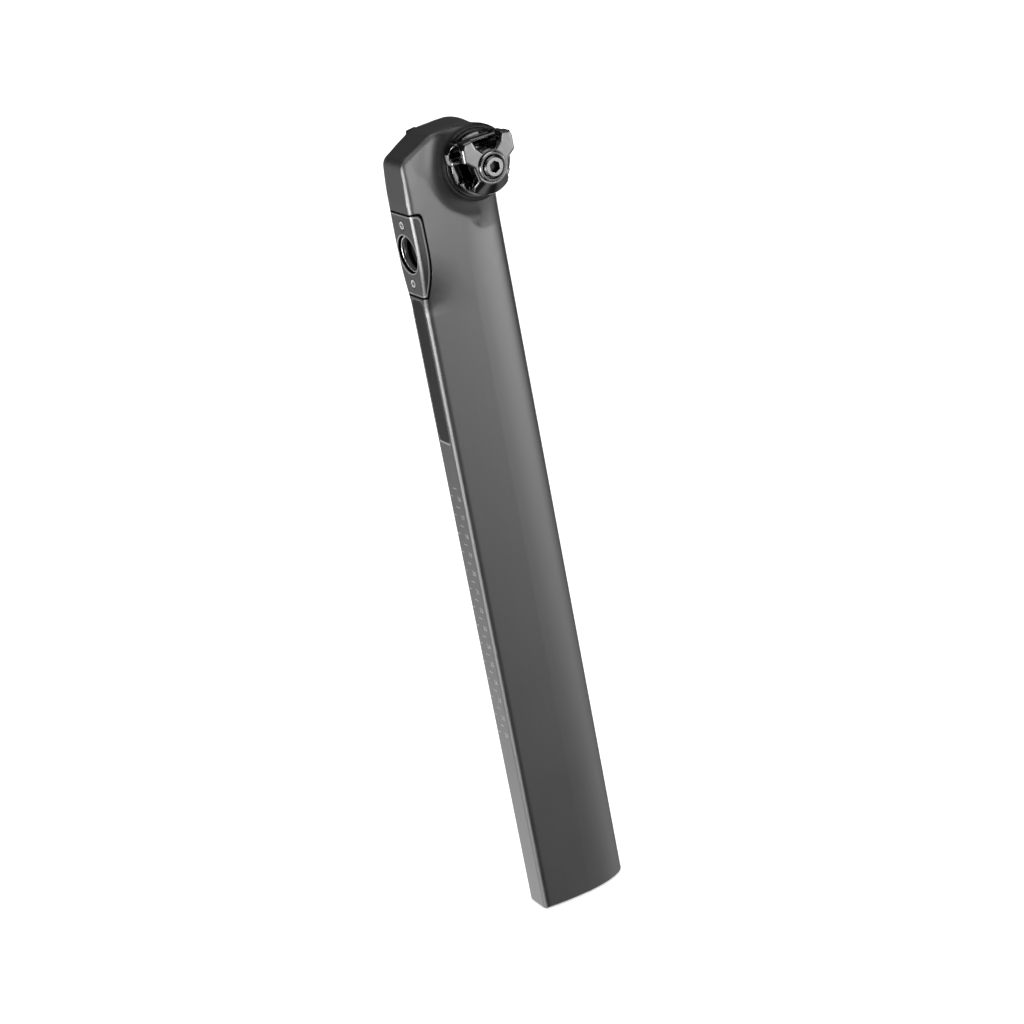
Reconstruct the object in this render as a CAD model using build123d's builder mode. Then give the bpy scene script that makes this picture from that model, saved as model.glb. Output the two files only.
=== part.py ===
from build123d import *
import os
from math import atan2, cos, degrees, radians, sin

# Bicycle seatpost, a hollow carbon aerofoil with a side-loading saddle rail clamp.
# Origin: lower end of the post, at the middle of its chord. +Z runs up the post, +X to the
# nose, and -Y is the rider's right, where the bolt head is. Millimetres.

# Post section, a truncated aerofoil
post_length = 390.0
chord = 51.0
thickness = 20.5
tail_width = 15.2
nose_to_thickest = 24.4
tail_corner = 2.1
wall = 2.6
cavity_corner = 1.2
end_chamfer = 0.7
edge_break = 0.3

# The clamp axis crosses the post here, behind the nose
axis_behind_nose = 13.4
tail_x = -chord / 2
nose_x = chord / 2
thickest_x = nose_x - nose_to_thickest
clamp_x = nose_x - axis_behind_nose
half_thickness = thickness / 2

# Head outline, seen from the side and measured from the clamp axis
head_radius = 18.2
tail_top = 8.5
tail_lean_from = -12.0
tail_lean = 1.2
shoulder_back = 18.4
shoulder_up = 18.0
crown_angle = 82.0
tail_top_round = 5.5
crown_dip = 1.0
crown_rim_out = 11.5

# Round flange on each side of the head, and the cove that runs it into the flank
flange_out = 14.0
flange_radius = 17.5
cove_radius = 27.0
cove_out = 10.1
cove_skirt = (34.5, 8.6)
cove_toe = 36.5
chin_top = 15.0
chin_low = 33.0
chin_shares = [0.0, 0.12, 0.33, 0.62, 1.0]
chin_tail_out = 12.6

# Tail swelling that carries the port cover: levels below the clamp axis and widths there
swell_width = 22.2
swell_levels = [
    (66.0, tail_width),
    (58.0, 15.8),
    (46.0, 20.4),
    (34.0, swell_width),
    (16.0, 21.4),
    (0.0, 19.6),
    (-22.0, 16.0),
]

# Port cover, let into the tail
cover_top = 16.0
cover_bottom = 56.5
cover_thickness = 2.2
cover_wrap = 5.8
cover_gap = 0.25
cover_round = 3.4
cover_taper = 12.0
port_below_axis = 36.0
port_radius = 9.4
port_depth = 9.4
port_step = 1.4
cover_screw_spacing = 28.6

# Cavity behind the cover
block_depth = 8.7
block_wall = 3.2
cavity_top = 20.0
cavity_turn = 58.0

# Strip let into the tail under the cover
strip_top = 58.5
strip_bottom = 130.5
strip_width = 10.8
strip_depth = 0.6
strip_round = 3.0

# Bonded cups in the head, in which the clamp turns
cup_radius = 12.0
cup_flange_radius = 16.3
cup_flange = 1.2
cup_depth = 11.0
spigot_radius = 9.0
spigot_length = 9.5
turn_clearance = 0.06

# Saddle rails
rail_diameter = 7.0
rail_spacing = 44.0
rail_up = 8.5
rail_radius = rail_diameter / 2
rail_out = rail_spacing / 2
jaw_gap = 0.8

# Inner jaws
inner_plate_radius = 14.8
inner_plate = 2.0
cradle_half_length = 16.4
cradle_corner_radius = 18.4
cradle_low = 3.4
cradle_high = 13.0
cradle_bevel = 0.8
heel_ring = 4.6
heel_out = 19.8
heel_below = 6.0

# Outer jaws, outline measured from the clamp axis
arm_out = 28.5
arm_crown = 14.3
arm_outer = 13.4
arm_shoulder = (12.4, 13.7)
arm_shoulder_low = 10.7
arm_tip_inner = 7.8
notch_bottom = 6.6
notch_half = 2.6
notch_knee = (6.4, 10.4)
arm_foot = (13.4, 4.6)
waist_top = (9.2, 1.2)
waist_low = (7.6, -5.4)
lobe_radius = 14.0
lobe_corner = (9.2, -8.2)
lobe_edge_out = 23.6
hub_radius = 8.2
seat_out = 26.0
waist_round = 2.5
knee_round = 4.0
arm_bevel = 0.8

# Clamp bolt, sleeve nut and dished washers
bolt_radius = 3.0
bolt_head_radius = 5.0
bolt_head = 4.0
bolt_head_edge = 0.7
bolt_point = 0.6
hex_key = 5.0
hex_depth = 2.8
bolt_clearance = 0.2
washer_radius = 7.0
washer_floor = 1.0
washer_height = 3.8
washer_clearance = 0.1
washer_edge = 0.5
dish_clearance = 0.4
dish_edge = 0.4
nut_sleeve_radius = 4.2
nut_sleeve = 12.0
thread_grip = 8.0
thread_clearance = 0.05

# Cover screws and their inserts
screw_radius = 1.5
screw_head_radius = 2.75
screw_length = 7.0
screw_key = 2.0
screw_key_depth = 1.1
insert_radius = 2.3
insert_length = 4.6

# Planes and axes on the clamp
clamp_side = Plane(origin=(clamp_x, 0, post_length), x_dir=(1, 0, 0), z_dir=(0, -1, 0))
clamp_level = Plane(origin=(clamp_x, 0, post_length), x_dir=(1, 0, 0), z_dir=(0, 0, 1))
clamp_axis = Axis((clamp_x, 0, post_length), (0, -1, 0))
right_across = 2 * thickness
cut_past = 1.0


def section(level, half_tail, half_thick, tail=tail_x, nose=nose_x, corner=tail_corner):
    """Level section of the post: flat tail, arched flanks and an elliptical nose."""
    with BuildSketch(Plane.XY.offset(level)) as outline:
        with BuildLine():
            EllipticalCenterArc((thickest_x, 0), nose - thickest_x, half_thick, -90, arc_size=180)
            TangentArc((thickest_x, half_thick), (tail, half_tail), tangent=(-1, 0))
            Line((tail, half_tail), (tail, -half_tail))
            TangentArc((thickest_x, -half_thick), (tail, -half_tail), tangent=(-1, 0))
        make_face()
        fillet(outline.vertices().group_by(Axis.X)[0], corner)
    return outline.sketch


def swell(inset):
    """Sections of the post's upper part, with its tail swelling, set in by a wall."""
    return [
        section(post_length - below, width / 2 - inset, half_thickness - inset, tail_x + inset,
                nose_x - inset)
        for below, width in swell_levels
    ]


def turned(points):
    """Ring turned about the clamp axis from points given as (radius, distance out to the right)."""
    with BuildPart() as ring:
        with BuildSketch(clamp_level):
            with BuildLine():
                Polyline(*[(radius, -out) for radius, out in points], close=True)
            make_face()
        revolve(axis=clamp_axis)
    return ring.part


# Outer form of the post: straight lower part, then the swelling up to the head
swell_start = post_length - swell_levels[0][0]
with BuildPart() as outer_form:
    loft([
        section(0, tail_width / 2 - end_chamfer, half_thickness - end_chamfer, tail_x + end_chamfer,
                nose_x - end_chamfer, tail_corner - end_chamfer / 2),
        section(end_chamfer, tail_width / 2, half_thickness),
    ])
    extrude(section(end_chamfer, tail_width / 2, half_thickness), amount=swell_start - end_chamfer)
    loft(swell(0))

# Cove and flange of the head, kept behind a nose that widens from the post up to the flange
with BuildPart() as nose_limit:
    extrude(section(post_length - chin_top, chin_tail_out, flange_out), amount=chin_top + head_radius)
    loft([
        section(
            post_length - chin_low + (chin_low - chin_top) * step / (len(chin_shares) - 1),
            tail_width / 2 + (chin_tail_out - tail_width / 2) * share,
            half_thickness + (flange_out - half_thickness) * share,
        )
        for step, share in enumerate(chin_shares)
    ])
    with BuildSketch(clamp_side):
        Circle(head_radius)
    extrude(amount=flange_out, both=True)
with BuildPart() as head_form:
    with BuildSketch(clamp_level):
        with BuildLine():
            Line((0, 0), (0, flange_out))
            Line((0, flange_out), (flange_radius, flange_out))
            TangentArc((cove_radius, cove_out), (flange_radius, flange_out), tangent=(-1, 0))
            TangentArc((cove_radius, cove_out), cove_skirt, tangent=(1, 0))
            Polyline(cove_skirt, (cove_toe, 0), (0, 0))
        make_face()
    revolve(axis=clamp_axis)
    mirror(about=Plane.XZ)
    add(nose_limit.part, mode=Mode.INTERSECT)

# Side outline of the whole post: straight tail, sloping shoulder, crown and round front
crown_start = (head_radius * cos(radians(crown_angle)), head_radius * sin(radians(crown_angle)))
crown_run = (-sin(radians(crown_angle)), cos(radians(crown_angle)))
with BuildPart() as side_outline:
    with BuildSketch(clamp_side) as profile:
        with BuildLine():
            Polyline(
                (axis_behind_nose, 0),
                (axis_behind_nose, -post_length),
                (axis_behind_nose - chord, -post_length),
                (axis_behind_nose - chord, tail_lean_from),
                (axis_behind_nose - chord + tail_lean, tail_top),
                (-shoulder_back, shoulder_up),
            )
            TangentArc(crown_start, (-shoulder_back, shoulder_up), tangent=crown_run)
            Line(crown_start, (0, 0))
            Line((0, 0), (axis_behind_nose, 0))
        make_face()
        Circle(head_radius)
        shoulder = (clamp_x + axis_behind_nose - chord + tail_lean, 0, post_length + tail_top)
        fillet(profile.vertices().sort_by_distance(shoulder)[:1], tail_top_round)
    extrude(amount=right_across, both=True)

# Shallow dip along the top of the head, between the rims of its two sides
with BuildPart() as crown_hollow:
    with BuildSketch(clamp_side) as dip:
        with BuildLine():
            Polyline(
                (head_radius + crown_dip, 0),
                (head_radius + right_across, 0),
                (head_radius + right_across, right_across),
                (-shoulder_back - right_across, right_across),
                (-shoulder_back, shoulder_up - crown_dip),
            )
            TangentArc(
                (crown_start[0], crown_start[1] - crown_dip),
                (-shoulder_back, shoulder_up - crown_dip),
                tangent=crown_run,
            )
            RadiusArc(
                (crown_start[0], crown_start[1] - crown_dip),
                (head_radius - crown_dip, 0),
                head_radius - crown_dip,
            )
            Line((head_radius - crown_dip, 0), (head_radius + crown_dip, 0))
        make_face()
    extrude(amount=crown_rim_out, both=True, taper=degrees(atan2(crown_dip, crown_rim_out)))

# Block that the cover is cut from, and the slightly larger recess in the post
cover_front = tail_x + cover_wrap


def cover_block(clearance):
    """Side outline of the cover, run right across the post."""
    top = post_length - cover_top + clearance
    bottom = post_length - cover_bottom - clearance
    front = cover_front + clearance
    with BuildPart() as block:
        with BuildSketch(Plane.XZ) as outline:
            with BuildLine():
                Polyline(
                    (tail_x - cut_past, top),
                    (front, top),
                    (front, bottom + cover_taper),
                    (tail_x + tail_corner, bottom),
                    (tail_x - cut_past, bottom),
                    close=True,
                )
            make_face()
            fillet(outline.vertices().group_by(Axis.X)[-1], cover_round)
        extrude(amount=right_across, both=True)
    return block.part


# Under-surface of the cover
with BuildPart() as cover_seat:
    loft(swell(cover_thickness))

port_centre = post_length - port_below_axis
screw_levels = [port_centre + cover_screw_spacing / 2, port_centre - cover_screw_spacing / 2]
tail_plane = Plane(origin=(tail_x, 0, port_centre), x_dir=(0, -1, 0), z_dir=(-1, 0, 0))

# Post shell: moulded carbon, hollow from the lower end to the head
with BuildPart() as post_shell:
    add(outer_form.part)
    add(head_form.part)
    add(side_outline.part, mode=Mode.INTERSECT)
    add(crown_hollow.part, mode=Mode.SUBTRACT)
    # lower cavity
    extrude(
        section(0, tail_width / 2 - wall, half_thickness - wall, tail_x + wall, nose_x - wall,
                cavity_corner),
        amount=swell_start,
        mode=Mode.SUBTRACT,
    )
    # cavity behind the cover block
    low_half_tail = tail_width / 2 - wall
    high_half_tail = swell_width / 2 - cover_thickness - block_wall
    loft(
        [
            section(swell_start, low_half_tail, half_thickness - wall, tail_x + wall, nose_x - wall,
                    cavity_corner),
            section(post_length - cavity_turn, low_half_tail, half_thickness - wall, tail_x + block_depth,
                    nose_x - wall, cavity_corner),
        ],
        mode=Mode.SUBTRACT,
    )
    loft(
        [
            section(post_length - cavity_turn, low_half_tail, half_thickness - wall, tail_x + block_depth,
                    nose_x - wall, cavity_corner),
            section(post_length - cavity_top, high_half_tail, half_thickness - wall, tail_x + block_depth,
                    nose_x - wall, cavity_corner),
        ],
        mode=Mode.SUBTRACT,
    )
    # bore for the bonded cups
    with BuildSketch(clamp_side):
        Circle(cup_radius)
    extrude(amount=right_across, both=True, mode=Mode.SUBTRACT)
    # recess for the cover
    add(cover_block(cover_gap) - cover_seat.part, mode=Mode.SUBTRACT)
    # port pocket and insert holes
    with BuildSketch(tail_plane):
        Circle(port_radius - port_step)
    extrude(amount=-port_depth, mode=Mode.SUBTRACT)
    with BuildSketch(tail_plane):
        with GridLocations(0, cover_screw_spacing, 1, 2):
            Circle(insert_radius)
    extrude(amount=-(cover_thickness + insert_length + cut_past), mode=Mode.SUBTRACT)
    # recess for the strip
    with BuildSketch(Plane(origin=(tail_x, 0, post_length), x_dir=(0, -1, 0), z_dir=(-1, 0, 0))):
        with Locations((0, -(strip_top + strip_bottom) / 2)):
            RectangleRounded(strip_width, strip_bottom - strip_top, strip_round)
    extrude(amount=-strip_depth, mode=Mode.SUBTRACT)
post_shell.part.label = "post_shell"
export_step(post_shell.part, "parts/post_shell.step")

# Strip in its recess
with BuildPart() as rear_strip:
    with BuildSketch(Plane(origin=(tail_x, 0, post_length), x_dir=(0, -1, 0), z_dir=(-1, 0, 0))):
        with Locations((0, -(strip_top + strip_bottom) / 2)):
            RectangleRounded(strip_width, strip_bottom - strip_top, strip_round)
    extrude(amount=-strip_depth)
rear_strip.part.label = "rear_strip"
export_step(rear_strip.part, "parts/rear_strip.step")

# Port cover: a shell wrapped round both tail corners, with the port and two screw holes
with BuildPart() as port_cover:
    add(outer_form.part)
    add(cover_block(0), mode=Mode.INTERSECT)
    add(cover_seat.part, mode=Mode.SUBTRACT)
    with BuildSketch(tail_plane):
        Circle(port_radius)
    extrude(amount=-port_depth, mode=Mode.SUBTRACT)
    with Locations(tail_plane):
        with GridLocations(0, cover_screw_spacing, 1, 2):
            CounterSinkHole(screw_radius + bolt_clearance, screw_head_radius + washer_clearance,
                            counter_sink_angle=90)
port_cover.part.label = "port_cover"
export_step(port_cover.part, "parts/port_cover.step")

# Cover screws: countersunk, with a hex socket
screw_cone = screw_head_radius - screw_radius
for place, level in zip(["upper", "lower"], screw_levels):
    with BuildPart() as cover_screw:
        with BuildSketch(Plane(origin=(tail_x, 0, level), x_dir=(1, 0, 0), z_dir=(0, 1, 0))):
            with BuildLine():
                Polyline(
                    (0, 0),
                    (0, screw_head_radius),
                    (screw_cone, screw_radius),
                    (screw_length, screw_radius),
                    (screw_length, 0),
                    close=True,
                )
            make_face()
        revolve(axis=Axis((tail_x, 0, level), (1, 0, 0)))
        with BuildSketch(Plane(origin=(tail_x, 0, level), x_dir=(0, -1, 0), z_dir=(-1, 0, 0))):
            RegularPolygon(screw_key / 2, 6, major_radius=False)
        extrude(amount=-screw_key_depth, mode=Mode.SUBTRACT)
    cover_screw.part.label = "cover_screw_" + place
    export_step(cover_screw.part, "parts/cover_screw_" + place + ".step")
    # Threaded insert bonded into the post behind the cover
    with BuildPart() as cover_insert:
        insert_plane = Plane(origin=(tail_x + cover_thickness, 0, level), x_dir=(0, -1, 0),
                             z_dir=(-1, 0, 0))
        with BuildSketch(insert_plane):
            Circle(insert_radius)
            Circle(screw_radius + thread_clearance, mode=Mode.SUBTRACT)
        extrude(amount=-insert_length)
    cover_insert.part.label = "cover_insert_" + place
    export_step(cover_insert.part, "parts/cover_insert_" + place + ".step")

# Bonded cup: alloy, flanged, with the bore that the inner jaw turns in
cup_face = flange_out + cup_flange
with BuildPart() as seat_cup_right:
    add(turned([
        (spigot_radius + turn_clearance, flange_out - cup_depth),
        (cup_radius, flange_out - cup_depth),
        (cup_radius, flange_out),
        (cup_flange_radius, flange_out),
        (cup_flange_radius, cup_face - edge_break),
        (cup_flange_radius - edge_break, cup_face),
        (spigot_radius + turn_clearance, cup_face),
    ]))
seat_cup_right.part.label = "seat_cup_right"
export_step(seat_cup_right.part, "parts/seat_cup_right.step")
with BuildPart() as seat_cup_left:
    mirror(seat_cup_right.part, about=Plane.XZ)
seat_cup_left.part.label = "seat_cup_left"
export_step(seat_cup_left.part, "parts/seat_cup_left.step")


def rail_groove():
    """Space of the saddle rail, run fore and aft."""
    rail_plane = Plane(origin=(clamp_x, -rail_out, post_length + rail_up), x_dir=(0, 1, 0),
                       z_dir=(1, 0, 0))
    with BuildPart() as rail:
        with BuildSketch(rail_plane):
            Circle(rail_radius)
        extrude(amount=2 * cradle_half_length, both=True)
    return rail.part


def inner_jaw(hole):
    """Inner jaw: a round plate on the cup, a spigot in its bore and the rail cradle on top."""
    with BuildPart() as jaw:
        add(turned([
            (hole, flange_out - spigot_length),
            (spigot_radius, flange_out - spigot_length),
            (spigot_radius, cup_face),
            (inner_plate_radius, cup_face),
            (inner_plate_radius, cup_face + inner_plate),
            (hole, cup_face + inner_plate),
        ]))
        # cradle, its ends rounded to one circle
        with BuildSketch(clamp_side.offset(cup_face)):
            Circle(cradle_corner_radius)
            with Locations((0, (cradle_low + cradle_high) / 2)):
                Rectangle(2 * cradle_half_length, cradle_high - cradle_low, mode=Mode.INTERSECT)
        extrude(amount=rail_out - jaw_gap / 2 - cup_face)
        chamfer(jaw.faces().sort_by(Axis.Y)[0].edges(), cradle_bevel)
        # heel that the outer jaw rocks on
        with BuildSketch(clamp_side.offset(cup_face)):
            Circle(inner_plate_radius)
            Circle(inner_plate_radius - heel_ring, mode=Mode.SUBTRACT)
            with Locations((0, -inner_plate_radius)):
                Rectangle(2 * inner_plate_radius, 2 * (inner_plate_radius - heel_below), mode=Mode.INTERSECT)
        extrude(amount=heel_out - cup_face)
        add(rail_groove(), mode=Mode.SUBTRACT)
        add(turned([(0, 0), (hole, 0), (hole, arm_out), (0, arm_out)]), mode=Mode.SUBTRACT)
    return jaw.part


def outer_jaw(hole):
    """Outer jaw: a hub for the bolt, two arms over the rail and a lobe that bears on the heel."""
    seam_out = rail_out + jaw_gap / 2
    lobe_slope = (arm_out - lobe_edge_out) / (lobe_radius - hub_radius)
    with BuildPart() as lobe_trim:
        add(turned([
            (hub_radius, arm_out),
            (2 * lobe_radius, arm_out - lobe_slope * (2 * lobe_radius - hub_radius)),
            (2 * lobe_radius, arm_out + cut_past),
            (hub_radius, arm_out + cut_past),
        ]))
        split(bisect_by=Plane.XY.offset(post_length + waist_low[1]), keep=Keep.BOTTOM)
    with BuildPart() as jaw:
        with BuildSketch(clamp_side.offset(seam_out)) as outline:
            with BuildLine():
                half = Polyline(
                    (0, notch_bottom),
                    (notch_half, notch_bottom),
                    notch_knee,
                    (arm_tip_inner, arm_crown),
                    arm_shoulder,
                    (arm_outer, arm_shoulder_low),
                    arm_foot,
                    waist_top,
                    waist_low,
                    lobe_corner,
                    (lobe_corner[0], -lobe_radius - cut_past),
                    (0, -lobe_radius - cut_past),
                )
                mirror(half, about=Plane.YZ)
            make_face()
            corners = outline.vertices()
            waists = corners.filter_by(lambda v: abs(v.Z - post_length - waist_top[1]) < 0.1)
            waists += corners.filter_by(lambda v: abs(v.Z - post_length - waist_low[1]) < 0.1)
            fillet(waists, waist_round)
            knees = corners.filter_by(lambda v: abs(v.Z - post_length - notch_knee[1]) < 0.1)
            fillet(knees, knee_round)
        extrude(amount=arm_out - seam_out)
        chamfer(jaw.faces().sort_by(Axis.Y)[0].edges(), arm_bevel)
        # lobe cut to its own radius and sloped towards the edge
        with BuildSketch(clamp_side.offset(seam_out)):
            with Locations((0, -lobe_radius)):
                Rectangle(4 * lobe_radius, 2 * (lobe_radius + waist_low[1]))
            Circle(lobe_radius, mode=Mode.SUBTRACT)
        extrude(amount=right_across, mode=Mode.SUBTRACT)
        add(lobe_trim.part, mode=Mode.SUBTRACT)
        # foot that bears on the inner jaw's heel
        with BuildSketch(clamp_side.offset(heel_out)):
            Circle(lobe_radius)
            Circle(inner_plate_radius - heel_ring, mode=Mode.SUBTRACT)
            with Locations((0, -lobe_radius)):
                Rectangle(2 * lobe_corner[0], 2 * (lobe_radius + lobe_corner[1]), mode=Mode.INTERSECT)
        extrude(amount=seam_out - heel_out)
        # hub with the washer's seat
        add(turned([
            (hole, seam_out),
            (hub_radius, seam_out),
            (hub_radius, arm_out - arm_bevel),
            (hub_radius - arm_bevel, arm_out),
            (hole, arm_out),
        ]))
        add(turned([
            (0, 0),
            (hole, 0),
            (hole, seat_out),
            (washer_radius + washer_clearance, seat_out),
            (washer_radius + washer_clearance, arm_out + cut_past),
            (0, arm_out + cut_past),
        ]), mode=Mode.SUBTRACT)
        add(rail_groove(), mode=Mode.SUBTRACT)
    return jaw.part


# Right jaws take the bolt, left jaws take the nut's sleeve
jaw_holes = {"right": bolt_radius + bolt_clearance, "left": nut_sleeve_radius + bolt_clearance}
for side, hole in jaw_holes.items():
    with BuildPart() as inner_clamp:
        if side == "right":
            add(inner_jaw(hole))
        else:
            mirror(inner_jaw(hole), about=Plane.XZ)
    inner_clamp.part.label = "inner_clamp_" + side
    export_step(inner_clamp.part, "parts/inner_clamp_" + side + ".step")
    with BuildPart() as outer_clamp:
        if side == "right":
            add(outer_jaw(hole))
        else:
            mirror(outer_jaw(hole), about=Plane.XZ)
    outer_clamp.part.label = "outer_clamp_" + side
    export_step(outer_clamp.part, "parts/outer_clamp_" + side + ".step")

# Dished washers under the bolt head and the nut
washer_face = seat_out + washer_floor
dish_radius = bolt_head_radius + dish_clearance
with BuildPart() as bolt_washer:
    add(turned([
        (bolt_radius + bolt_clearance, seat_out),
        (washer_radius, seat_out),
        (washer_radius, seat_out + washer_height - washer_edge),
        (washer_radius - washer_edge, seat_out + washer_height),
        (dish_radius + dish_edge, seat_out + washer_height),
        (dish_radius, seat_out + washer_height - dish_edge),
        (dish_radius, washer_face),
        (bolt_radius + bolt_clearance, washer_face),
    ]))
bolt_washer.part.label = "bolt_washer"
export_step(bolt_washer.part, "parts/bolt_washer.step")
with BuildPart() as nut_washer:
    add(turned([
        (nut_sleeve_radius + bolt_clearance, -seat_out),
        (washer_radius, -seat_out),
        (washer_radius, -seat_out - washer_height + washer_edge),
        (washer_radius - washer_edge, -seat_out - washer_height),
        (dish_radius + dish_edge, -seat_out - washer_height),
        (dish_radius, -seat_out - washer_height + dish_edge),
        (dish_radius, -washer_face),
        (nut_sleeve_radius + bolt_clearance, -washer_face),
    ]))
nut_washer.part.label = "nut_washer"
export_step(nut_washer.part, "parts/nut_washer.step")

# Clamp bolt: low round head with a hex socket, shank right across to the nut
bolt_face = washer_face + bolt_head
bolt_end = -(washer_face - nut_sleeve + thread_grip)
with BuildPart() as clamp_bolt:
    add(turned([
        (0, bolt_end),
        (bolt_radius - bolt_point, bolt_end),
        (bolt_radius, bolt_end + bolt_point),
        (bolt_radius, washer_face),
        (bolt_head_radius, washer_face),
        (bolt_head_radius, bolt_face - bolt_head_edge),
        (bolt_head_radius - bolt_head_edge, bolt_face),
        (0, bolt_face),
    ]))
    with BuildSketch(clamp_side.offset(bolt_face)):
        RegularPolygon(hex_key / 2, 6, major_radius=False, rotation=30)
    extrude(amount=-hex_depth, mode=Mode.SUBTRACT)
clamp_bolt.part.label = "clamp_bolt"
export_step(clamp_bolt.part, "parts/clamp_bolt.step")

# Sleeve nut: the same head, with a threaded sleeve that the bolt runs into
sleeve_end = -(washer_face - nut_sleeve)
with BuildPart() as clamp_nut:
    add(turned([
        (bolt_radius + thread_clearance, sleeve_end),
        (nut_sleeve_radius, sleeve_end),
        (nut_sleeve_radius, -washer_face),
        (bolt_head_radius, -washer_face),
        (bolt_head_radius, -bolt_face + bolt_head_edge),
        (bolt_head_radius - bolt_head_edge, -bolt_face),
        (bolt_radius + thread_clearance, -bolt_face),
    ]))
    with BuildSketch(clamp_side.offset(-bolt_face)):
        RegularPolygon(hex_key / 2, 6, major_radius=False, rotation=30)
    extrude(amount=hex_depth, mode=Mode.SUBTRACT)
clamp_nut.part.label = "clamp_nut"
export_step(clamp_nut.part, "parts/clamp_nut.step")
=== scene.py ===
import math

import bmesh
import bpy
from mathutils import Matrix, Vector


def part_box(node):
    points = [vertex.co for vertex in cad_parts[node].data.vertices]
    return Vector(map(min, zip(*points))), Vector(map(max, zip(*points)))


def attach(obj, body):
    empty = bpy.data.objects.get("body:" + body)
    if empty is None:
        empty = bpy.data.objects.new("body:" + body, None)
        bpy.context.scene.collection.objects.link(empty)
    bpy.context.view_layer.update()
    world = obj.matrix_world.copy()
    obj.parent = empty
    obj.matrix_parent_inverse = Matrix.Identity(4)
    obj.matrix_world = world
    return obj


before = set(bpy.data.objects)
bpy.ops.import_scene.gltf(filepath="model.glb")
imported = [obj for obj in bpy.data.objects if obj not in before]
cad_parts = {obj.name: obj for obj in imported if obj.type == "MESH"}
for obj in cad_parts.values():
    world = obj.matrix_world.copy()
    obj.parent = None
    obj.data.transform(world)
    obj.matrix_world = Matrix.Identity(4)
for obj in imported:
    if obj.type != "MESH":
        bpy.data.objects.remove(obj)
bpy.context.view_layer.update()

# Camera
# The photograph looks at the post from behind its right side and a little above it, with the
# camera rolled so that the top of the post leans to the left.
azimuth = math.radians(-26.61)
elevation = math.radians(21.58)
roll = math.radians(-10.91)
camera_distance = 1.25535
camera_target = Vector((0.00273, 0, 0.21225))
back = Vector((
    math.sin(azimuth) * math.cos(elevation),
    -math.cos(azimuth) * math.cos(elevation),
    math.sin(elevation),
))
level = (-back).cross(Vector((0, 0, 1))).normalized()
upright = level.cross(-back)
right = math.cos(roll) * level + math.sin(roll) * upright
up = math.cos(roll) * upright - math.sin(roll) * level
camera_data = bpy.data.cameras.new("camera")
camera_data.lens = 89.7
camera_data.sensor_width = 36
camera = bpy.data.objects.new("camera", camera_data)
bpy.context.scene.collection.objects.link(camera)
turn = Matrix((right, up, back)).transposed().to_4x4()
camera.matrix_world = Matrix.Translation(camera_target + back * camera_distance) @ turn
bpy.context.scene.camera = camera
bpy.context.scene.view_settings.view_transform = "Standard"


class Shade:
    """A socket of a node tree. Python's operators on it add Math nodes."""

    def __init__(self, tree, socket=None):
        self.tree = tree
        self.socket = socket

    def add(self, kind, settings=None, inputs=None, output=0):
        """Adds a node with its settings, fills its sockets with values or links, and gives one output."""
        node = self.tree.nodes.new("ShaderNode" + kind)
        for name, value in (settings or {}).items():
            setattr(node, name, value)
        for name, value in (inputs or {}).items():
            if isinstance(value, Shade):
                self.tree.links.new(value.socket, node.inputs[name])
            else:
                node.inputs[name].default_value = value
        return Shade(self.tree, node.outputs[output])

    def math(self, operation, first, second=0.0, third=0.0):
        return self.add("Math", {"operation": operation}, {0: first, 1: second, 2: third})

    def __add__(self, other):
        return self.math("ADD", self, other)

    def __sub__(self, other):
        return self.math("SUBTRACT", self, other)

    def __mul__(self, other):
        return self.math("MULTIPLY", self, other)

    def __rsub__(self, other):
        return self.math("SUBTRACT", other, self)

    __radd__ = __add__
    __rmul__ = __mul__

    def size(self):
        """Its value without the sign."""
        return self.math("ABSOLUTE", self)

    def either(self, other):
        """The larger of the two, such as the stronger of two masks."""
        return self.math("MAXIMUM", self, other)

    def between(self, low, high):
        """Runs smoothly from 0 at low to 1 at high."""
        settings = {"interpolation_type": "SMOOTHSTEP"}
        return self.add("MapRange", settings, {"Value": self, "From Min": low, "From Max": high})

    def band(self, low, full, fading, high):
        """0 up to low, 1 from full to fading, and 0 again from high."""
        return self.between(low, full) * (1 - self.between(fading, high))

    def hump(self, centre, half_width):
        """1 at the centre, falling smoothly to 0 at half_width on each side."""
        return 1 - (self - centre).size().between(0, half_width)

    def mix(self, low, high):
        """Colour between low at 0 and high at 1."""
        return self.add("Mix", {"data_type": "RGBA"}, {0: self, 6: (*low, 1), 7: (*high, 1)}, output=2)

    def blend(self, low, high):
        """Vector between low at 0 and high at 1."""
        return self.add("Mix", {"data_type": "VECTOR"}, {0: self, 4: low, 5: high}, output=1)

    def split(self):
        """X, Y and Z of a vector."""
        parts = self.add("SeparateXYZ", inputs={"Vector": self}).socket.node.outputs
        return [Shade(self.tree, parts[axis]) for axis in "XYZ"]

    def noise(self, scale, detail=2.0):
        """Cloudy pattern from 0 to 1 over a place."""
        return self.add("TexNoise", inputs={"Vector": self, "Scale": scale, "Detail": detail})


# Floor and studio light
# A plain white floor without a horizon, one large soft light overhead, and a studio round about
# that the glossy surfaces mirror: broad soft panels with dark gaps between them.
floor_radius = 14
floor_drop = 0.0004
bpy.ops.object.select_all(action="DESELECT")
bpy.ops.mesh.primitive_circle_add(
    vertices=96,
    radius=floor_radius,
    fill_type="NGON",
    location=(0, 0, -floor_drop),
)
floor = bpy.context.object
floor.name = "floor"
floor.data.materials.append(bpy.data.materials.new("floor_white"))
floor.data.materials[0].use_nodes = True
paper = floor.data.materials[0].node_tree.nodes["Principled BSDF"]
paper.inputs["Base Color"].default_value = (0.9, 0.9, 0.9, 1)
paper.inputs["Roughness"].default_value = 1
paper.inputs["Specular IOR Level"].default_value = 0
paper.inputs["Emission Color"].default_value = (1, 1, 1, 1)
paper.inputs["Emission Strength"].default_value = 0.35
floor.visible_glossy = False

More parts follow.
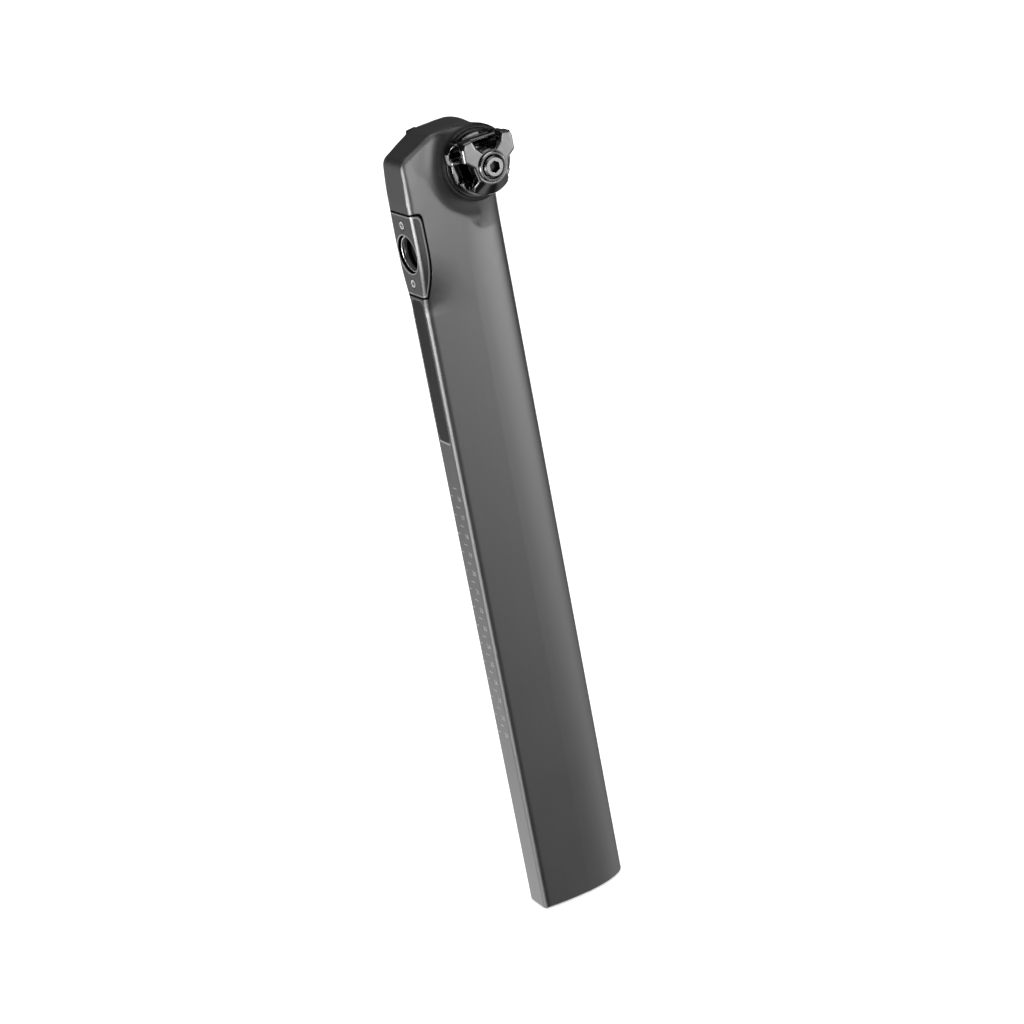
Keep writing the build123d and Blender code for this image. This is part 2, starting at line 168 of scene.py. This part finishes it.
overhead_data = bpy.data.lights.new("overhead", "AREA")
overhead_data.shape = "RECTANGLE"
overhead_data.size = 1.6
overhead_data.size_y = 1.6
overhead_data.energy = 14
overhead = bpy.data.objects.new("overhead", overhead_data)
bpy.context.scene.collection.objects.link(overhead)
overhead.location = (-0.5, -0.4, 1.7)
overhead.rotation_euler = (Vector((0, 0, 0.1)) - overhead.location).to_track_quat("-Z", "Y").to_euler()
overhead.visible_camera = False
overhead.visible_glossy = False

studio = bpy.data.worlds.new("studio")
bpy.context.scene.world = studio
studio.use_nodes = True
sky = Shade(studio.node_tree)
east, north, height = sky.add("TexCoord", output="Generated").split()
# compass angle in degrees, 0 straight out to the post's right side and growing towards its nose,
# and rise in degrees above the horizon
to_degrees = 180 / math.pi
compass = sky.math("ARCTAN2", east, 0 - north) * to_degrees
rise = sky.math("ARCSINE", height) * to_degrees
# glow beside the right flank, brighter towards the horizon, and one beside the left flank
climb = (rise + 31).either(0)
side_strength = 0.2 + climb * climb * 0.0085 + (1 - rise.between(-50, -38)) * 0.4
side_glow = compass.band(-24, -2, 58, 100) * side_strength
far_glow = compass.between(122, 142) * (1 - rise.between(-14, -8)) * 1.8
side_panel = compass.band(26, 44, 58, 86) * rise.between(-30, -10) * 2.0
# panels that the nose, the tail's corner and the flat tail mirror
nose_panel = compass.band(40, 80, 100, 122) * (1 - rise.between(-28, -14)) * 0.7
corner_panel = compass.band(-118, -94, -82, -58) * (3.2 + rise.between(-22, -13) * 21)
tail_side = compass.band(-196, -160, -116, -92) + compass.hump(200, 36)
tail_panel = tail_side * (0.42 + (1 - rise.between(-31, -17)) * 1.3)
low_panels = (nose_panel + corner_panel + tail_panel) * rise.between(-62, -44)
overhead_panel = rise.between(46, 62) * 1.4
dim_room = 0.06
below_horizon = 1 - rise.between(-4, 8)
mirrored = (side_glow + far_glow + side_panel + low_panels) * below_horizon + overhead_panel + dim_room
glossy_ray = sky.add("LightPath", output="Is Glossy Ray")
radiance = mirrored * glossy_ray + (1 - glossy_ray)
background = sky.add("Background", inputs={"Color": (1, 1, 1, 1), "Strength": radiance})
sky.tree.links.new(background.socket, sky.tree.nodes["World Output"].inputs["Surface"])


# Post shell
# Hollow aerofoil post and head, moulded in one piece from carbon laminate and finished with a
# dark grey satin coat. Its lower end is cut square and shows the laminate.
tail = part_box("post_shell")[0].x
clamp_forward = 0.0121
clamp_height = 0.390
port_height = 0.354
strip_end = 0.2589
cover_top = 0.374
cover_bottom = 0.3335
cover_front = -0.0197
slant_start = 0.3455
slant_across = 0.956
slant_along = 0.295


def new_material(name, roughness, specular=0.5, metallic=0.0):
    """Material with one Principled shader, and the place on the object to build its maths from."""
    material = bpy.data.materials.new(name)
    material.use_nodes = True
    shader = material.node_tree.nodes["Principled BSDF"]
    shader.inputs["Roughness"].default_value = roughness
    shader.inputs["Specular IOR Level"].default_value = specular
    shader.inputs["Metallic"].default_value = metallic
    place = Shade(material.node_tree).add("TexCoord", output="Object")
    return material, shader, place


def feed(shader, name, shade):
    """Links a Shade to one of the shader's sockets."""
    shade.tree.links.new(shade.socket, shader.inputs[name])


def dress(material, *node_names):
    """Gives CAD nodes one material."""
    for node_name in node_names:
        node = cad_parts[node_name]
        node.data.materials.clear()
        node.data.materials.append(material)


def distance(first, second):
    """Length of two offsets at a right angle."""
    return first.math("SQRT", first * first + second * second)


def skin_normal(edge_radius, relief, strength, soft=None, soft_radius=0.0, lean=None):
    """Normal with rounded edges and a fine relief, with rounder edges where soft is 1. It is
    turned along X by lean."""
    rounded = relief.add("Bevel", {"samples": 6}, {"Radius": edge_radius})
    if soft:
        rounder = relief.add("Bevel", {"samples": 12}, {"Radius": soft_radius})
        rounded = soft.blend(rounded, rounder)
    if lean:
        leaning = relief.add("CombineXYZ", inputs={"X": lean})
        leaning = relief.add("VectorMath", {"operation": "ADD"}, {0: rounded, 1: leaning})
        rounded = relief.add("VectorMath", {"operation": "NORMALIZE"}, {0: leaning})
    inputs = {"Height": relief, "Strength": strength, "Distance": 0.0002, "Normal": rounded}
    return relief.add("Bump", inputs=inputs)


def corner_lean(across, start, end):
    """Turns the flank towards the tail at its corner, less and less from start to end."""
    return (across - tail).between(start, end) * 0.5 - 0.5


def black_out(shader, mask):
    """Covers the shader with plain black where the mask is 1, as painted shade."""
    black = mask.add("BsdfDiffuse", inputs={"Color": (0.002, 0.002, 0.002, 1)})
    both = mask.add("MixShader", inputs={0: mask, 1: Shade(mask.tree, shader.outputs[0]), 2: black})
    mask.tree.links.new(both.socket, mask.tree.nodes["Material Output"].inputs["Surface"])


def to_cover(along, across):
    """Distance outside the cover's outline, from the height and the fore and aft place."""
    past_front = across - cover_front
    slant = past_front * slant_across - (along - slant_start) * slant_along
    rim = along.math("SMOOTH_MAX", along - cover_top, past_front, 0.006)
    rim = rim.math("SMOOTH_MAX", rim, slant, 0.004)
    return rim.either(cover_bottom - along)


carbon, shader, place = new_material("satin_carbon", 0.34, specular=0.62)
across, sideways, along = place.split()
off_middle = sideways.size()
from_port = distance(sideways, along - port_height)
from_clamp = distance(across - clamp_forward, along - clamp_height)
clouds = place.noise(22.0, 3.0)
peel = place.noise(900.0)
stretched = place.add("Mapping", {"vector_type": "POINT"}, {"Vector": place, "Scale": (1600, 1600, 40)})
fibres = stretched.noise(1.0)
# painted highlight: a pale line on the tail along the lower end of the strip
strip_highlight_height = along.hump(strip_end, 0.0007)
strip_end_highlight = strip_highlight_height * (1 - off_middle.between(0.0046, 0.0056)) * (1 - across.between(-0.0252, -0.0248))
in_port = (1 - from_port.between(0.0083, 0.0085)) * (1 - across.between(-0.015, -0.012))
tone = (clouds + fibres) * 0.015 + strip_end_highlight + in_port * 0.12
feed(shader, "Base Color", tone.mix((0.010, 0.010, 0.0103), (0.300, 0.300, 0.302)))
feed(shader, "Roughness", 0.28 + clouds * 0.08)
shader.inputs["Coat Weight"].default_value = 0.35
shader.inputs["Coat Roughness"].default_value = 0.22
# the edges are rounder on the head and on the chin under it than on the post
at_head = (1 - from_clamp.between(0.030, 0.036)).either(along.between(0.376, 0.381))
at_chin = (1 - from_clamp.between(0.040, 0.046)) * across.between(-0.016, -0.010)
soft = at_head.either(at_chin)
lean = corner_lean(across, 0.0012, 0.0044)
feed(shader, "Normal", skin_normal(0.0012, peel, 0.08, soft, soft_radius=0.0036, lean=lean))
# painted shade: plain black in the gap round the cover, on the step in the port, and in a ring beside the
# jaws
gap_shade = to_cover(along, across).band(-0.0016, -0.0010, 0.00050, 0.00090)
step_shade = from_port.band(0.0081, 0.0083, 0.0100, 0.0101) * (1 - across.between(-0.020, -0.018))
jaw_shade = (1 - from_clamp.between(0.0172, 0.0205)) * off_middle.between(0.0118, 0.0136) * 0.7
black_out(shader, gap_shade.either(jaw_shade).either(step_shade))
dress(carbon, "post_shell")

# Height scale
# Marks printed in pale ink down the flat tail, every 5 mm, with the distance in centimetres up
# to the clamp axis beside every second mark.
ink, shader, place = new_material("scale_ink", 0.6)
feed(shader, "Base Color", place.noise(4000.0, 1.0).mix((0.28, 0.28, 0.28), (0.38, 0.38, 0.38)))

ink_proud = 0.00004
first_mark = 155
last_mark = 290
mark_step = 5
mark_thick = 0.00035
mark_length = 0.0034
mark_centre = -0.0003
tick_centre = 0.0046
tick_length = 0.0024
number_centre = -0.0030
number_high = 0.0024
capital_share = 0.7
to_tail = Matrix(((0, 0, -1, 0), (-1, 0, 0, 0), (0, 1, 0, 0), (0, 0, 0, 1)))


def printed_bar(name, centre_y, centre_z, wide):
    """Thin printed bar on the tail."""
    bpy.ops.object.select_all(action="DESELECT")
    bpy.ops.mesh.primitive_cube_add(size=1, location=(tail - ink_proud / 2, centre_y, centre_z))
    bar = bpy.context.object
    bar.name = name
    bar.scale = (ink_proud, wide, mark_thick)
    bpy.ops.object.transform_apply(location=True, rotation=True, scale=True)
    return bar


def printed_number(value, centre_z):
    """Number printed on the tail, upright."""
    bpy.ops.object.select_all(action="DESELECT")
    bpy.ops.object.text_add(location=(0, 0, 0))
    number = bpy.context.object
    number.data.body = str(value)
    number.data.size = number_high / capital_share
    number.data.extrude = ink_proud / 2
    number.data.align_x = "CENTER"
    number.data.align_y = "CENTER"
    number.data.resolution_u = 2
    bpy.ops.object.convert(target="MESH")
    number.matrix_world = Matrix.Translation((tail - ink_proud / 2, number_centre, centre_z)) @ to_tail
    bpy.ops.object.transform_apply(location=True, rotation=True, scale=True)
    return number


marks = []
for millimetres in range(first_mark, last_mark + 1, mark_step):
    mark_z = clamp_height - millimetres / 1000
    if millimetres % 10 == 0:
        marks.append(printed_bar("tick", tick_centre, mark_z, tick_length))
        marks.append(printed_number(millimetres // 10, mark_z))
    else:
        marks.append(printed_bar("mark", mark_centre, mark_z, mark_length))
bpy.ops.object.select_all(action="DESELECT")
for mark in marks:
    mark.select_set(True)
bpy.context.view_layer.objects.active = marks[0]
bpy.ops.object.join()
height_scale = bpy.context.object
height_scale.name = "height_scale"
height_scale.data.materials.clear()
height_scale.data.materials.append(ink)
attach(height_scale, "post")

# Rear strip
# Glossy black strip let flush into the tail under the cover. The photo shows a word on it, which
# is left off.
gloss, shader, place = new_material("gloss_black", 0.12, specular=0.13)
smudge = place.noise(120.0, 3.0)
feed(shader, "Base Color", smudge.mix((0.006, 0.006, 0.0065), (0.012, 0.012, 0.012)))
feed(shader, "Roughness", 0.10 + smudge * 0.08)
dress(gloss, "rear_strip")

# Port cover
# Moulded cover wrapped round both tail corners, in the same satin grey as the post, with the
# round port and two countersunk screw holes. Its edge and the port's lip carry a painted
# highlight, a pale line.
satin_cover, shader, place = new_material("satin_cover", 0.30, specular=0.62)
across, sideways, along = place.split()
grain = place.noise(1400.0)
clouds = place.noise(60.0)
from_port = distance(sideways, along - port_height)
outline = to_cover(along, across)
# painted highlight: pale lines round the port's lip and just inside the cover's edge
lip_highlight = (1 - from_port.between(0.0097, 0.0100)) * (1 - across.between(-0.0250, -0.0246))
edge_highlight = outline.hump(-0.0009, 0.0004) * 0.8
tone = clouds * 0.04 + lip_highlight.either(edge_highlight)
feed(shader, "Base Color", tone.mix((0.011, 0.011, 0.0113), (0.25, 0.25, 0.252)))
feed(shader, "Roughness", 0.25 + clouds * 0.08)
feed(shader, "Normal", skin_normal(0.0010, grain, 0.06, lean=corner_lean(across, 0.0052, 0.0062)))
shader.inputs["Coat Weight"].default_value = 0.35
shader.inputs["Coat Roughness"].default_value = 0.2
# painted shade: plain black on the port's wall and on the cover's edge in the gap
port_wall_shade = (1 - from_port.between(0.00960, 0.00975)) * across.between(-0.0252, -0.0249)
black_out(shader, outline.between(-0.00045, -0.00020).either(port_wall_shade))
dress(satin_cover, "port_cover")

# Port ring
# Bright turned ring seated on the step inside the port, which holds the blanking plug or light.
# It is an open ring with eased edges, 0.5 mm thick.
ring_radius = 0.0089
ring_inner = 0.0083
ring_thick = 0.0005
ring_ease = 0.00016
step_depth = 0.0022
bpy.ops.object.select_all(action="DESELECT")
bpy.ops.mesh.primitive_cylinder_add(
    vertices=96,
    radius=ring_radius,
    depth=ring_thick,
    end_fill_type="NGON",
    location=(tail + step_depth - ring_thick / 2, 0, port_height),
    rotation=(0, math.pi / 2, 0),
)
port_ring = bpy.context.object
port_ring.name = "port_ring"
bpy.ops.object.transform_apply(location=True, rotation=True, scale=True)
bpy.ops.object.mode_set(mode="EDIT")
bpy.ops.mesh.select_mode(type="FACE")
bpy.ops.mesh.select_all(action="DESELECT")
mesh = bmesh.from_edit_mesh(port_ring.data)
for face in mesh.faces:
    face.select_set(len(face.verts) > 4)
bmesh.update_edit_mesh(port_ring.data)
bpy.ops.mesh.inset(thickness=ring_radius - ring_inner, use_individual=True)
bpy.ops.mesh.bridge_edge_loops()
bpy.ops.mesh.select_mode(type="EDGE")
bpy.ops.mesh.select_all(action="DESELECT")
bpy.ops.mesh.edges_select_sharp(sharpness=math.radians(40))
bpy.ops.mesh.bevel(offset=ring_ease, segments=3, affect="EDGES")
bpy.ops.object.mode_set(mode="OBJECT")
bpy.ops.object.shade_smooth_by_angle(angle=math.radians(30))
ring_steel, shader, place = new_material("ring_steel", 0.35, metallic=1.0)
turning = place.noise(2200.0)
feed(shader, "Base Color", turning.mix((0.85, 0.85, 0.855), (0.92, 0.92, 0.925)))
feed(shader, "Roughness", 0.32 + turning * 0.1)
port_ring.data.materials.clear()
port_ring.data.materials.append(ring_steel)
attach(port_ring, "post")

# Cover screws and inserts
# Two small countersunk screws in bright steel, with painted shade that darkens each head round
# a bright ring and paints its hex socket black, and the brass inserts bonded into the post that
# they run into.
screw_steel, shader, place = new_material("screw_steel", 0.32, metallic=1.0)
across, sideways, along = place.split()
turning = place.noise(2500.0)
screw_offset = 0.0143
from_screw = distance(sideways, (along - port_height).size() - screw_offset)
# painted shade: the head is dark outside a bright ring, and the hex socket is plain black
bright_ring_painted_shade = from_screw.band(0.00080, 0.00095, 0.00185, 0.00200) * 0.9 + turning * 0.1
feed(shader, "Base Color", bright_ring_painted_shade.mix((0.02, 0.02, 0.0201), (0.98, 0.98, 0.98)))
feed(shader, "Roughness", 0.28 + turning * 0.12)
feed(shader, "Normal", skin_normal(0.0002, turning, 0.05))
black_out(shader, 1 - from_screw.between(0.00075, 0.00085))
dress(screw_steel, "cover_screw_upper", "cover_screw_lower")

brass, shader, place = new_material("insert_brass", 0.35, metallic=1.0)
feed(shader, "Base Color", place.noise(2000.0).mix((0.62, 0.45, 0.20), (0.75, 0.58, 0.28)))
dress(brass, "cover_insert_upper", "cover_insert_lower")

# Seat cups
# Turned aluminium cups bonded into both sides of the head, anodised black, in which the spigots
# of the inner jaws turn.
cup_black, shader, place = new_material("anodised_cup", 0.3, metallic=1.0)
turning = place.noise(1500.0)
feed(shader, "Base Color", turning.mix((0.018, 0.018, 0.0182), (0.030, 0.030, 0.0303)))
feed(shader, "Roughness", 0.26 + turning * 0.12)
feed(shader, "Normal", skin_normal(0.0003, turning, 0.05))
dress(cup_black, "seat_cup_right", "seat_cup_left")

# Clamp jaws
# Forged aluminium jaws, polished and anodised black. The inner jaw sits on the cup and carries
# half of the rail's cradle, and the outer jaw hooks over the rail with two arms.
jaw_black, shader, place = new_material("polished_jaw", 0.09, metallic=1.0)
polish = place.noise(260.0, 3.0)
feed(shader, "Base Color", polish.mix((0.10, 0.10, 0.1015), (0.14, 0.14, 0.142)))
feed(shader, "Roughness", 0.04 + polish * 0.06)
feed(shader, "Normal", skin_normal(0.0011, polish, 0.03))
dress(jaw_black, "inner_clamp_right", "inner_clamp_left", "outer_clamp_right", "outer_clamp_left")

# Dished washers
# Turned washers that seat the bolt head and the nut in the outer jaws, polished black, with a
# painted highlight as a bright line round the rim.
washer_black, shader, place = new_material("washer_black", 0.15, metallic=1.0)
across, sideways, along = place.split()
turning = place.noise(900.0)
rim_radius = 0.00672
from_clamp = distance(across - clamp_forward, along - clamp_height)
# painted highlight: a bright line round the rim
rim = from_clamp.hump(rim_radius, 0.0004) * 0.9 + turning * 0.1
feed(shader, "Base Color", rim.mix((0.04, 0.04, 0.041), (0.48, 0.48, 0.482)))
feed(shader, "Roughness", 0.12 + turning * 0.08)
feed(shader, "Normal", skin_normal(0.0003, turning, 0.05))
dress(washer_black, "bolt_washer", "nut_washer")

# Clamp bolt and nut
# Bright steel socket head bolt through both pairs of jaws, and the sleeve nut that it runs into
# from the far side. The socket is painted dark inside as painted shade.
bolt_steel, shader, place = new_material("bolt_steel", 0.25, metallic=1.0)
across, sideways, along = place.split()
turning = place.noise(1800.0)
from_clamp = distance(across - clamp_forward, along - clamp_height)
# painted shade: the socket is dark inside
socket_shade = (1 - from_clamp.between(0.0029, 0.0030)) * (1 - sideways.size().between(0.0304, 0.0308))
tone = turning * 0.15 + (1 - socket_shade) * 0.85
feed(shader, "Base Color", tone.mix((0.01, 0.01, 0.0101), (0.16, 0.16, 0.162)))
feed(shader, "Roughness", 0.22 + turning * 0.1)
feed(shader, "Normal", skin_normal(0.0003, turning, 0.05))
dress(bolt_steel, "clamp_bolt", "clamp_nut")
